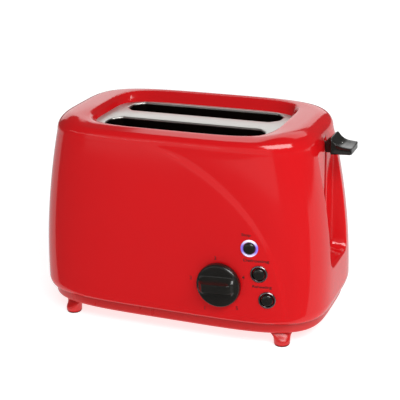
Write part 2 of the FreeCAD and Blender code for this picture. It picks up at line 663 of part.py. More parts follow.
def make_control_board_screws():
    group = []
    for corner in ((-18, -22), (-18, 42), (26, 42)):
        back = -BOARD_DEPTH - BOARD_THICK
        shank = Part.makeCylinder(1.5, 8, V(corner[0], corner[1], back))
        head = Part.makeCylinder(2.8, 1.6, V(corner[0], corner[1], back - 1.6))
        group.append(placed(head.fuse(shank), front_placement(DIAL_PLACE)))
    return Part.makeCompound(group)


def make_potentiometer():
    back = -BOARD_DEPTH - BOARD_THICK
    body = box((-8, -8, back - 7), (8, 8, back))
    collar = Part.makeCylinder(3.8, BOARD_THICK + 5, V(0, 0, back))
    body = body.fuse(collar).cut(Part.makeCylinder(SHAFT_RADIUS + SHAFT_CLEARANCE, 30, V(0, 0, back - 6)))
    return placed(body, front_placement(DIAL_PLACE))


def make_dial_shaft():
    length = BOARD_DEPTH + BOARD_THICK + 5.5 + 6
    shaft = Part.makeCylinder(SHAFT_RADIUS, length, V(0, 0, 6 - length))
    flat = box((-4, 1.8, -2), (4, 4, 7))
    return placed(shaft.cut(flat), front_placement(DIAL_PLACE))


def make_browning_dial():
    """Round dial with a grip bar across it; its socket fits the flat on the shaft."""
    disc = Part.makeCone(DIAL_RADIUS, DIAL_RADIUS - 0.8, DIAL_DISC - DIAL_GAP, V(0, 0, DIAL_GAP))
    rim = [edge for edge in disc.Edges if edge.BoundBox.ZMin > DIAL_DISC - 0.1]
    disc = disc.makeFillet(0.8, rim[:1])
    half = DIAL_GRIP_WIDTH / 2
    profile = [V(0, -half - 3, DIAL_DISC - 1), V(0, half + 3, DIAL_DISC - 1)]
    profile += [V(0, half, DIAL_GRIP), V(0, -half, DIAL_GRIP)]
    bar = Part.Face(Part.makePolygon(profile + profile[:1])).extrude(V(2 * DIAL_RADIUS, 0, 0))
    bar.translate(V(-DIAL_RADIUS, 0, 0))
    bar = bar.common(Part.makeCone(DIAL_RADIUS + 1.5, 10.2, DIAL_GRIP, V(0, 0, 0)))
    bar.rotate(V(0, 0, 0), Z_DIR, DIAL_GRIP_ANGLE)
    dial = disc.fuse(bar)
    socket = Part.makeCylinder(SHAFT_RADIUS, 6 - DIAL_GAP, V(0, 0, DIAL_GAP))
    socket = socket.cut(box((-4, 1.8, 0), (4, 4, 7)))
    return placed(dial.cut(socket), front_placement(DIAL_PLACE))


def button_stem_length(place):
    """Length from the wall's face back to just in front of the switch on the board."""
    here = front_placement(place)
    board = front_placement(DIAL_PLACE)
    normal = here.Rotation.multVec(Z_DIR)
    board_normal = board.Rotation.multVec(Z_DIR)
    board_point = board.Base - board_normal * (BOARD_DEPTH - SWITCH_HEIGHT)
    distance = (here.Base - board_point).dot(board_normal) / normal.dot(board_normal)
    return distance - BUTTON_TRAVEL - 0.8


def make_button(place):
    cap = Part.makeCylinder(BUTTON_RADIUS, BUTTON_PROUD + 4, V(0, 0, -4))
    rim = [edge for edge in cap.Edges if edge.BoundBox.ZMin > BUTTON_PROUD - 0.1]
    cap = cap.makeFillet(0.9, rim[:1])
    length = button_stem_length(place)
    stem = Part.makeCylinder(1.8, length - 3, V(0, 0, -length))
    return placed(cap.fuse(stem), front_placement(place))


def make_bezel(place):
    flange = Part.makeCylinder(BEZEL_RADIUS, BEZEL_PROUD)
    rim = [edge for edge in flange.Edges if edge.BoundBox.ZMin > BEZEL_PROUD - 0.1]
    flange = flange.makeFillet(0.5, rim[:1])
    sleeve = Part.makeCylinder(BEZEL_SLEEVE - 0.02, 4, V(0, 0, -4))
    bezel = flange.fuse(sleeve).cut(Part.makeCylinder(BEZEL_HOLE, 12, V(0, 0, -6)))
    return placed(bezel, front_placement(place))


def make_tact_switches():
    board = front_placement(DIAL_PLACE)
    board_normal = board.Rotation.multVec(Z_DIR)
    group = []
    for place in BUTTON_PLACES.values():
        here = front_placement(place)
        normal = here.Rotation.multVec(Z_DIR)
        board_point = board.Base - board_normal * BOARD_DEPTH
        distance = (here.Base - board_point).dot(board_normal) / normal.dot(board_normal)
        foot = here.Base - normal * distance
        local = board.inverse().multVec(foot)
        body = box((local.x - 3, local.y - 3, -BOARD_DEPTH),
                   (local.x + 3, local.y + 3, -BOARD_DEPTH + 3.3))
        plunger = Part.makeCylinder(1.6, SWITCH_HEIGHT - 0.5, V(local.x, local.y, -BOARD_DEPTH))
        group.append(placed(body.fuse(plunger), board))
    return Part.makeCompound(group)


def make_indicator_led():
    board = front_placement(DIAL_PLACE)
    local = board.inverse().multVec(front_placement(BUTTON_PLACES["cancel"]).Base)
    centre = V(local.x + 6.8, local.y - 1, -BOARD_DEPTH)
    led = Part.makeCylinder(1.5, 4.2, centre).fuse(Part.makeSphere(1.5, centre + V(0, 0, 4.2)))
    return placed(led, board)


def make_cord_inlet():
    """Rubber grommet in the back wall, grooved to hold the wall's edge."""
    face = -front_height_y(INLET_PLACE[0], INLET_PLACE[1])
    start = V(INLET_PLACE[0], face - INLET_LENGTH + 2.5, INLET_PLACE[1])
    body = Part.makeCylinder(INLET_HOLE - 0.05, INLET_LENGTH, start, Y_DIR)
    inner_flange = Part.makeCylinder(INLET_RADIUS, 1.6, start, Y_DIR)
    outer_flange = Part.makeCylinder(INLET_RADIUS, 1.4, start + V(0, INLET_LENGTH - 1.4, 0), Y_DIR)
    grommet = join([body, inner_flange, outer_flange])
    return grommet.cut(Part.makeCylinder(INLET_BORE, INLET_LENGTH + 2, start - V(0, 1, 0), Y_DIR))


def make_parts():
    parts = split_housing()
    parts["slot_plate"] = make_slot_plate()
    parts["base"] = make_base()
    parts["feet"] = make_feet()
    parts["foot_pads"] = make_foot_pads()
    parts["base_screws"] = make_base_screws()
    parts["crumb_tray"] = make_crumb_tray()
    parts["crumb_tray_grip"] = make_crumb_tray_grip()
    parts["left_chassis_plate"] = make_chassis_plate(-1)
    parts["right_chassis_plate"] = make_chassis_plate(1)
    parts["front_heat_shield"] = make_heat_shield(-1)
    parts["rear_heat_shield"] = make_heat_shield(1)
    for name, y in (("front", -HEATER_Y), ("middle", 0), ("rear", HEATER_Y)):
        parts[name + "_heater_board"] = make_heater_board(y)
        parts[name + "_heating_ribbon"] = make_heating_wire(y)
    for name, side in (("front", -1), ("rear", 1)):
        inner, outer = guide_lines(side)
        parts[name + "_inner_guide"] = make_bread_guide(inner)
        parts[name + "_outer_guide"] = make_bread_guide(outer)
        parts[name + "_bread_rack"] = make_bread_rack(side)
    parts["carriage"] = make_carriage()
    parts["lever_arm"] = make_lever_arm()
    parts["lever_knob"] = make_lever_knob()
    parts["armature_plate"] = make_armature_plate()
    parts["guide_rod"] = make_guide_rod()
    parts["lift_spring"] = make_lift_spring()
    parts["magnet_core"] = make_magnet_core()
    parts["magnet_coil"] = make_magnet_coil()
    parts["power_board"] = make_power_board()
    parts["main_switch"] = make_main_switch()
    parts["control_board"] = make_control_board()
    parts["control_board_screws"] = make_control_board_screws()
    parts["potentiometer"] = make_potentiometer()
    parts["dial_shaft"] = make_dial_shaft()
    parts["browning_dial"] = make_browning_dial()
    for name, place in BUTTON_PLACES.items():
        parts[name + "_button"] = make_button(place)
        parts[name + "_bezel"] = make_bezel(place)
    parts["tact_switches"] = make_tact_switches()
    parts["indicator_led"] = make_indicator_led()
    parts["cord_inlet"] = make_cord_inlet()
    return parts


os.makedirs("parts", exist_ok=True)
for name, shape in make_parts().items():
    shape.translate(-OUTLINE_MIDDLE)
    shape.exportStep("parts/" + name + ".step")
    bounds = shape.BoundBox
    print("%-22s solids %2d valid %s x %.1f..%.1f y %.1f..%.1f z %.1f..%.1f" % (
        name, len(shape.Solids), shape.isValid(), bounds.XMin, bounds.XMax, bounds.YMin, bounds.YMax,
        bounds.ZMin, bounds.ZMax))
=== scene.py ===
import json
import math
import bpy
import bmesh
import numpy as np
from mathutils import Matrix, Vector


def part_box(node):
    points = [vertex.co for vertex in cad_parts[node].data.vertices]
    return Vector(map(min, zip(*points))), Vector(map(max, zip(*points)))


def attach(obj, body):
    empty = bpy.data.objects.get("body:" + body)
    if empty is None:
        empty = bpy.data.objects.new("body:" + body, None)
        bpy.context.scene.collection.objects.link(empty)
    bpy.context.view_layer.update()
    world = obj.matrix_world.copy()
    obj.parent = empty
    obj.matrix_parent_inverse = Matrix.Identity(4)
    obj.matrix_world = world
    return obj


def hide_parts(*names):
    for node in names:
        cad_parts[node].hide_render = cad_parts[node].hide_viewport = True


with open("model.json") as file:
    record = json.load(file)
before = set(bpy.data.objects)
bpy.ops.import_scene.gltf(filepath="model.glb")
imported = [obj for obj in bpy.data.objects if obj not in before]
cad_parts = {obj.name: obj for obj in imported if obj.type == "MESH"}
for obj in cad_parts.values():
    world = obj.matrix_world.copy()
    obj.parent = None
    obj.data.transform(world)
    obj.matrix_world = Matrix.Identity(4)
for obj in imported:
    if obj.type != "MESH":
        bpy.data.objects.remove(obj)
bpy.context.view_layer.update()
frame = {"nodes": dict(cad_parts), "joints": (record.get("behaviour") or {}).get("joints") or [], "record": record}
record = frame["record"]
joints = {joint["name"]: joint for joint in frame["joints"]}
mm = 0.001
print("frame loaded:", len(frame["nodes"]), "nodes")

housingNodes = ("housing_front", "housing_rear", "housing_left_end", "housing_right_end",
                "lever_channel")
leftEnd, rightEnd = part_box("housing_left_end"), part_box("housing_right_end")
midX = (leftEnd[0].x + rightEnd[1].x) / 2            # the body is even about its own middle
midY = (leftEnd[0].y + leftEnd[1].y) / 2


def hexToLinear(text):
    values = [int(text[i:i + 2], 16) / 255 for i in (1, 3, 5)]
    return tuple(v / 12.92 if v <= 0.04045 else ((v + 0.055) / 1.055) ** 2.4 for v in values) + (1.0,)


def addNode(tree, kind, settings=None, links=None):
    # adds a node, sets its properties or inputs by name, and links inputs to other nodes' outputs
    node = tree.nodes.new(kind)
    for key, value in (settings or {}).items():
        if isinstance(key, int) or key in node.inputs:
            node.inputs[key].default_value = value
        else:
            setattr(node, key, value)
    for key, source in (links or {}).items():
        tree.links.new(source, node.inputs[key])
    return node


def newMaterial(name, surface):
    # a material with one Principled shader, whose uniform values are in surface; returns all three parts
    material = bpy.data.materials.new(name)
    material.use_nodes = True
    tree = material.node_tree
    shader = tree.nodes["Principled BSDF"]
    for key, value in surface.items():
        shader.inputs[key].default_value = value
    return material, tree, shader


def objectPoint(tree, scale=(1.0, 1.0, 1.0)):
    # object coordinates in metres, stretched per axis
    coords = addNode(tree, "ShaderNodeTexCoord")
    mapping = addNode(tree, "ShaderNodeMapping", {"Scale": scale}, {"Vector": coords.outputs["Object"]})
    return mapping.outputs["Vector"]


def perMillimetre(size):
    # texture scale that makes one feature about this many millimetres wide
    return 1.0 / (size * mm)


def twoTones(dark, light):
    # settings of a colour mix from one sRGB hex to another
    return {"data_type": "RGBA", 6: hexToLinear(dark), 7: hexToLinear(light)}


def smoothStep(value):
    t = np.clip(value, 0, 1)
    return t * t * (3 - 2 * t)


def gridFaces(rows, columns, closed):
    # quads of a rows x columns grid; closed joins the last column to the first
    last = columns if closed else columns - 1
    i, j = np.meshgrid(np.arange(rows - 1), np.arange(last), indexing="ij")
    right = (j + 1) % columns
    low, high = i * columns, (i + 1) * columns
    return np.stack([low + j, low + right, high + right, high + j], -1)


def rowLoop(row, columns):
    # vertex numbers of one grid row, which close it as a face
    return tuple(range(row * columns, (row + 1) * columns))


def buildMesh(name, points, faces, extraFaces=()):
    mesh = bpy.data.meshes.new(name)
    allFaces = [tuple(face) for face in np.asarray(faces).reshape(-1, 4).tolist()] + list(extraFaces)
    mesh.from_pydata(np.asarray(points, float).reshape(-1, 3).tolist(), [], allFaces)
    mesh.update()
    return mesh


def finishPiece(name, mesh, material, body, replaced=(), smooth=True, outward=True):
    # makes the object, points its faces outwards and ties it to its body
    work = bmesh.new()
    work.from_mesh(mesh)
    bmesh.ops.remove_doubles(work, verts=work.verts, dist=1e-7)
    if outward:
        bmesh.ops.recalc_face_normals(work, faces=work.faces)
    work.to_mesh(mesh)
    work.free()
    mesh.polygons.foreach_set("use_smooth", np.full(len(mesh.polygons), smooth))
    piece = bpy.data.objects.new(name, mesh)
    bpy.context.scene.collection.objects.link(piece)
    mesh.materials.append(material)
    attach(piece, body)
    if replaced:
        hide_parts(*replaced)
    return piece


def addModifier(piece, kind, **settings):
    modifier = piece.modifiers.new(kind.title(), kind)
    for key, value in settings.items():
        setattr(modifier, key, value)
    return modifier


def revolve(profile, steps=96):
    # points (radius, height) turned about the local axis; returns a rows x steps x 3 grid
    profile = np.asarray(profile, float)
    angle = np.arange(steps) * 2 * np.pi / steps
    x = profile[:, 0, None] * np.cos(angle)
    y = profile[:, 0, None] * np.sin(angle)
    z = np.repeat(profile[:, 1, None], steps, 1)
    return np.stack([x, y, z], -1)


def roundedProfile(corners, radii, steps=6):
    # polyline of (radius, height) corners, each inner corner replaced by a quadratic round of its radius
    points = [np.asarray(corners[0], float)]
    for before, corner, after, radius in zip(corners, corners[1:], corners[2:], radii):
        before, corner, after = (np.asarray(p, float) for p in (before, corner, after))
        start = corner + (before - corner) * min(0.5, radius / np.linalg.norm(before - corner))
        end = corner + (after - corner) * min(0.5, radius / np.linalg.norm(after - corner))
        for t in np.linspace(0, 1, steps):
            points.append((1 - t) ** 2 * start + 2 * t * (1 - t) * corner + t * t * end)
    points.append(np.asarray(corners[-1], float))
    return np.array(points)


def localFrame(origin, normal):
    # 4x4 matrix whose Z is the normal, X runs level to the right and Y up
    normal = Vector(normal).normalized()
    right = Vector((0, 0, 1)).cross(normal).normalized()
    up = normal.cross(right)
    return Matrix.Translation(origin) @ Matrix((right, up, normal)).transposed().to_4x4()


def placeGrid(grid, matrix):
    # local millimetres to row-frame metres
    m = np.array(matrix)
    return (grid * mm) @ m[:3, :3].T + m[:3, 3]


plasticLook = {"red": "#c21015", "redBase": "#b51213", "gloss": 0.11, "satin": 0.28}


def mouldedRed(name, colour, roughness, texture):
    # injection-moulded ABS: deep even red under a clear gloss, with a faint ripple that bends reflections
    material, tree, shader = newMaterial(name, {"Roughness": roughness, "IOR": 1.5})
    point = objectPoint(tree)
    cloud = addNode(tree, "ShaderNodeTexNoise", {"Scale": perMillimetre(60), "Detail": 2.0},
                    {"Vector": point})
    low, high = hexToLinear(colour), [min(1, c * 1.05) for c in hexToLinear(colour)]
    tint = addNode(tree, "ShaderNodeMix", {"data_type": "RGBA", 6: low, 7: high}, {0: cloud.outputs["Fac"]})
    tree.links.new(tint.outputs[2], shader.inputs["Base Color"])
    size, strength = texture
    ripple = addNode(tree, "ShaderNodeTexNoise", {"Scale": perMillimetre(size), "Detail": 1.0},
                     {"Vector": point})
    bump = addNode(tree, "ShaderNodeBump", {"Strength": strength, "Distance": 0.05 * mm},
                   {"Height": ripple.outputs["Fac"]})
    tree.links.new(bump.outputs["Normal"], shader.inputs["Normal"])
    smudge = addNode(tree, "ShaderNodeTexNoise", {"Scale": perMillimetre(18), "Detail": 3.0},
                     {"Vector": point})
    spread = addNode(tree, "ShaderNodeMapRange", {"To Min": roughness * 0.85, "To Max": roughness * 1.2},
                     {"Value": smudge.outputs["Fac"]})
    tree.links.new(spread.outputs[0], shader.inputs["Roughness"])
    return material


def mouldedBlack():
    # gloss black ABS of the dial, lever and buttons: nearly black, with sharp small highlights
    material, tree, shader = newMaterial("Moulded gloss black ABS", {"Roughness": 0.2, "IOR": 1.5})
    point = objectPoint(tree)
    cloud = addNode(tree, "ShaderNodeTexNoise", {"Scale": perMillimetre(9), "Detail": 3.0},
                    {"Vector": point})
    tint = addNode(tree, "ShaderNodeMix", twoTones("#141311", "#1d1b18"), {0: cloud.outputs["Fac"]})
    tree.links.new(tint.outputs[2], shader.inputs["Base Color"])
    spread = addNode(tree, "ShaderNodeMapRange", {"To Min": 0.14, "To Max": 0.24},
                     {"Value": cloud.outputs["Fac"]})
    tree.links.new(spread.outputs[0], shader.inputs["Roughness"])
    grain = addNode(tree, "ShaderNodeTexNoise", {"Scale": perMillimetre(0.8), "Detail": 1.0},
                    {"Vector": point})
    bump = addNode(tree, "ShaderNodeBump", {"Strength": 0.12, "Distance": 0.02 * mm},
                   {"Height": grain.outputs["Fac"]})
    tree.links.new(bump.outputs["Normal"], shader.inputs["Normal"])
    return material


def rolledSteel(name, colour, roughness, grain, stretch):
    # metal sheet with fine rolling lines along X: long soft streaks in its reflections
    material, tree, shader = newMaterial(name, {"Metallic": 1.0, "Base Color": hexToLinear(colour)})
    point = objectPoint(tree, stretch)
    lines = addNode(tree, "ShaderNodeTexNoise", {"Scale": perMillimetre(grain), "Detail": 3.0},
                    {"Vector": point})
    spread = addNode(tree, "ShaderNodeMapRange", {"To Min": roughness * 0.75, "To Max": roughness * 1.3},
                     {"Value": lines.outputs["Fac"]})
    tree.links.new(spread.outputs[0], shader.inputs["Roughness"])
    bump = addNode(tree, "ShaderNodeBump", {"Strength": 0.25, "Distance": 0.02 * mm},
                   {"Height": lines.outputs["Fac"]})
    tree.links.new(bump.outputs["Normal"], shader.inputs["Normal"])
    return material


def micaSheet():
    # pressed mica: tan flakes with a pearly sheen
    material, tree, shader = newMaterial("Pressed mica sheet", {"Roughness": 0.45, "IOR": 1.58})
    flakes = addNode(tree, "ShaderNodeTexVoronoi", {"Scale": perMillimetre(3)},
                     {"Vector": objectPoint(tree)})
    tint = addNode(tree, "ShaderNodeMix", twoTones("#8f7f63", "#b8a988"), {0: flakes.outputs["Distance"]})
    tree.links.new(tint.outputs[2], shader.inputs["Base Color"])
    return material


def plainNoise(name, dark, light, size, roughness, metallic=0.0):
    # small hidden parts: two close tones in a noise of the given size, in mm
    material, tree, shader = newMaterial(name, {"Roughness": roughness, "Metallic": metallic})
    cloud = addNode(tree, "ShaderNodeTexNoise", {"Scale": perMillimetre(size), "Detail": 4.0},
                    {"Vector": objectPoint(tree)})
    tint = addNode(tree, "ShaderNodeMix", twoTones(dark, light), {0: cloud.outputs["Fac"]})
    tree.links.new(tint.outputs[2], shader.inputs["Base Color"])
    return material


def litRingAndPaintedReflection(height, reach):
    # clear polycarbonate light guide, lit violet by its lamps; nearly white above and below the button, a painted
    # reflection of the bright surroundings, violet at its sides; height and reach are the ring's middle and radius
    # in metres
    material, tree, shader = newMaterial("Lit clear polycarbonate ring with painted reflection", {
        "Roughness": 0.12, "IOR": 1.58, "Emission Strength": 0.28})
    point = objectPoint(tree)
    split = addNode(tree, "ShaderNodeSeparateXYZ", links={0: point})
    offset = addNode(tree, "ShaderNodeMath", {"operation": "SUBTRACT", 1: height}, {0: split.outputs["Z"]})
    away = addNode(tree, "ShaderNodeMath", {"operation": "ABSOLUTE"}, {0: offset.outputs[0]})
    share = addNode(tree, "ShaderNodeMapRange", {"From Min": reach * 0.3, "From Max": reach * 1.0},
                    {"Value": away.outputs[0]})
    # painted reflection: white above and below, violet at the sides, in both the colour and the glow
    glowAndPaintedReflection = addNode(tree, "ShaderNodeMix", twoTones("#7f6ad0", "#f1edff"), {0: share.outputs[0]})
    tree.links.new(glowAndPaintedReflection.outputs[2], shader.inputs["Base Color"])
    tree.links.new(glowAndPaintedReflection.outputs[2], shader.inputs["Emission Color"])
    cloud = addNode(tree, "ShaderNodeTexNoise", {"Scale": perMillimetre(5), "Detail": 1.0},
                    {"Vector": point})
    spread = addNode(tree, "ShaderNodeMapRange", {"To Min": 0.08, "To Max": 0.2},
                     {"Value": cloud.outputs["Fac"]})
    tree.links.new(spread.outputs[0], shader.inputs["Roughness"])
    return material


redShell = mouldedRed("Moulded gloss red ABS", plasticLook["red"], plasticLook["gloss"], (22, 0.35))
redBase = mouldedRed("Moulded satin red ABS", plasticLook["redBase"], plasticLook["satin"], (5, 0.15))
blackGloss = mouldedBlack()
plateSteel = rolledSteel("Rolled bright stainless steel", "#b2b0ac", 0.3, 0.7, (0.03, 1.0, 1.0))
chassisSteel = rolledSteel("Aluminised steel sheet", "#a9a8a4", 0.38, 1.2, (0.05, 1.0, 0.6))
wireChrome = plainNoise("Chromium-plated wire", "#b5b4b2", "#cfcecb", 4, 0.16, 1.0)
zincSteel = plainNoise("Zinc-plated steel", "#8f8f8c", "#b2b1ae", 3, 0.32, 1.0)
ringChrome = plainNoise("Black chrome-plated bezel", "#40373a", "#54484b", 3, 0.12, 1.0)
# brighter chrome for the bezels' outer edge: a painted highlight
edgeChromePaintedHighlight = plainNoise("Bright edge as painted highlight", "#8f8587", "#aaa0a2", 3, 0.22, 1.0)
# near-black steel for the slot throats: painted shade of the deep slots
throatSteelPaintedShade = plainNoise("Steel throat darkened as painted shade", "#1d1714", "#2e2521", 6, 0.4, 1.0)
micaTan = micaSheet()
ribbonDark = plainNoise("Oxidised resistance ribbon", "#4a4440", "#6d655e", 2, 0.5, 1.0)
copperWire = plainNoise("Enamelled copper wire", "#8a3f1d", "#b05a2c", 0.6, 0.35, 1.0)
boardBrown = plainNoise("Paper laminate board", "#8a6a3a", "#9c7b48", 2, 0.6)
boardBlack = plainNoise("Moulded component black", "#1b1b1d", "#2a2a2c", 2, 0.5)
rubberBlack = plainNoise("Moulded black rubber", "#141414", "#1f1f1f", 1.5, 0.75)
ledClear = plainNoise("Clear violet epoxy", "#8377d8", "#a79cf0", 2, 0.1)
cancelLow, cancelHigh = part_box("cancel_bezel")
ringLitAndPaintedReflection = litRingAndPaintedReflection((cancelLow.z + cancelHigh.z) / 2, (cancelHigh.z - cancelLow.z) / 2)
printInk = plainNoise("Pad-printed dark ink", "#2a0b0c", "#3a1212", 1, 0.5)
print("materials ready")

cadFinish = {
    "red_shell": redShell, "brushed_plate": plateSteel, "red_base": redBase, "rubber": rubberBlack,
    "steel": zincSteel, "tray_steel": chassisSteel, "chassis_steel": chassisSteel, "mica": micaTan,
    "ribbon": ribbonDark, "wire_steel": wireChrome, "black_plastic": blackGloss, "copper": copperWire,
    "board": boardBrown, "board_parts": boardBlack, "light_ring": ringLitAndPaintedReflection, "bezel_chrome": ringChrome,
    "led": ledClear,
}
for entry in record["subparts"]:
    node = frame["nodes"][entry["node"]]
    node.data.materials.clear()
    node.data.materials.append(cadFinish[entry["material_slot"]])


housing = {
    "seam": 23.6, "top": 185.1, "rounding": 14.75,
    "halfLength": (135.0, 119.8, 4.75), "halfDepth": (78.4, 69.8, 0.57), "roundness": (4.27, 3.92),
    "bottomTuck": (1.6, 7.0),                       # inset and height of the soft lower edge
    "rimHalf": (89.0, 55.6), "rimRoundness": 4.3, "rimFlat": 0.7,
    "frontDip": 2.8, "dipRamps": ((8, 34), (100, 26), (179, 6)),     # start and length of its ramps in y, x, z
    "ledgeHalf": (84.6, 43.4), "ledgeRoundness": 5.0, "lipRoundness": 14.0, "plateTop": 176.4,
    "wall": 2.5,
    "channelBack": 121.0, "channelHalf": 26.5, "channelFloor": 59.0, "channelCorner": 10.0,
    "channelDraft": 3.6, "channelLip": (1.2, 0.5),   # width and depth of the soft edge round the arm's slot
    "slotHalf": 2.0, "slotSpan": (74.0, 169.5),
    "arcCentre": (-60.0, 30.0), "arcHalf": (166.5, 148.5), "arcStep": 1.0, "arcSoft": 4.5,
    "arcFade": 40.0,                                 # how far outside the arc the step eases out
}


def wallShare(z):
    return (z - housing["seam"]) / (housing["top"] - housing["rounding"] - housing["seam"])


def wallSize(z, which):
    # half length or half depth of the wall at height z: a straight taper plus a parabolic swell
    low, high, swell = housing[which]
    share = wallShare(z)
    return low + (high - low) * share + swell * 4 * share * (1 - share)


def wallRoundness(z):
    low, high = housing["roundness"]
    return low + (high - low) * wallShare(z)


def arcRelief(x, z):
    # depth of the front panel's relief: the face inside the big arc stands one step proud, and the step
    # eases out again away from the arc
    cx, cz = housing["arcCentre"]
    rx, rz = housing["arcHalf"]
    radial = np.sqrt(((x - cx) / rx) ** 2 + ((z - cz) / rz) ** 2)
    away = (1 - radial) * 0.5 * (rx + rz)           # roughly mm inside the arc
    outside = 1 - smoothStep(away / housing["arcSoft"] + 0.5)
    sunk = housing["arcStep"] * outside * np.exp(-np.maximum(-away, 0) / housing["arcFade"])
    fade = smoothStep((x + 118) / 60) * smoothStep((z - 24) / 10) * smoothStep((120 - x) / 14)
    return sunk * fade * smoothStep((176 - z) / 10)


def frontDepth(x, z):
    # y of the finished front face, from the body's middle, in mm
    n = wallRoundness(z)
    plain = wallSize(z, "halfDepth") * (1 - np.abs(x / wallSize(z, "halfLength")) ** n) ** (1 / n)
    return -plain + arcRelief(x, z)


def channelPoint(x, y, z):
    # pushes the +X end in to the lever channel's back wall, inside a round-cornered U outline
    half, floor, corner = housing["channelHalf"], housing["channelFloor"], housing["channelCorner"]
    side = np.abs(y) - (half - corner)
    below = (floor + corner) - z
    outside = np.hypot(np.maximum(side, 0), np.maximum(below, 0)) + np.minimum(np.maximum(side, below), 0)
    inside = corner - outside                       # mm inside the outline
    weight = smoothStep(inside / housing["channelDraft"])
    sunk = np.minimum(x, housing["channelBack"])
    moved = x + (sunk - x) * weight
    lipWidth, lipDepth = housing["channelLip"]
    slotLow, slotHigh = housing["slotSpan"]
    lip = smoothStep((housing["slotHalf"] + lipWidth - np.abs(y)) / lipWidth) * (z > slotLow - 2)
    moved = moved - lipDepth * lip * (z < slotHigh + 1) * weight
    return np.where((x > 90) & (z > 40) & (z < 172), moved, x)


def bodyColumns():
    # angles round the body: fine at the lever channel's sides and slot and along the front
    scale = wallSize(120.0, "halfDepth")
    slot = housing["slotHalf"] / scale
    end = np.concatenate([[0, slot, slot * 1.25, slot * 1.6, slot * 2.2], np.linspace(0.1, 0.28, 6),
                          np.linspace(0.295, 0.42, 18), np.linspace(0.45, 0.97, 15)])
    right = np.arctan(np.concatenate([-end[:0:-1], end]))
    front = np.arctan(np.linspace(-1, 1, 141)) - np.pi / 2
    left = np.arctan(np.linspace(-0.96, 0.96, 36)) + np.pi
    back = np.arctan(np.linspace(-1, 1, 61)) + np.pi / 2
    return np.sort(np.unique(np.round(np.concatenate([right, front, left, back]) % (2 * np.pi), 7)))


def superPoints(angle, halfX, halfY, roundness):
    # superellipse |x/a|^n + |y/b|^n = 1, by polar angle; sizes are one per row
    c, s = np.cos(angle)[None, :], np.sin(angle)[None, :]
    n = np.asarray(roundness, float)[:, None]
    reach = (np.abs(c) ** n + np.abs(s) ** n) ** (-1 / n)
    return np.asarray(halfX, float)[:, None] * c * reach, np.asarray(halfY, float)[:, None] * s * reach


def wallHeights():
    # heights of the wall's rows: closer at the channel's floor and along the arm's slot
    slotLow, slotHigh = housing["slotSpan"]
    parts = [np.linspace(housing["seam"], 31, 8), np.linspace(32.5, 55, 13), np.linspace(56, 70, 21),
             [slotLow - 2], np.linspace(slotLow, slotHigh, 62), [housing["top"] - housing["rounding"]]]
    return np.unique(np.concatenate(parts))


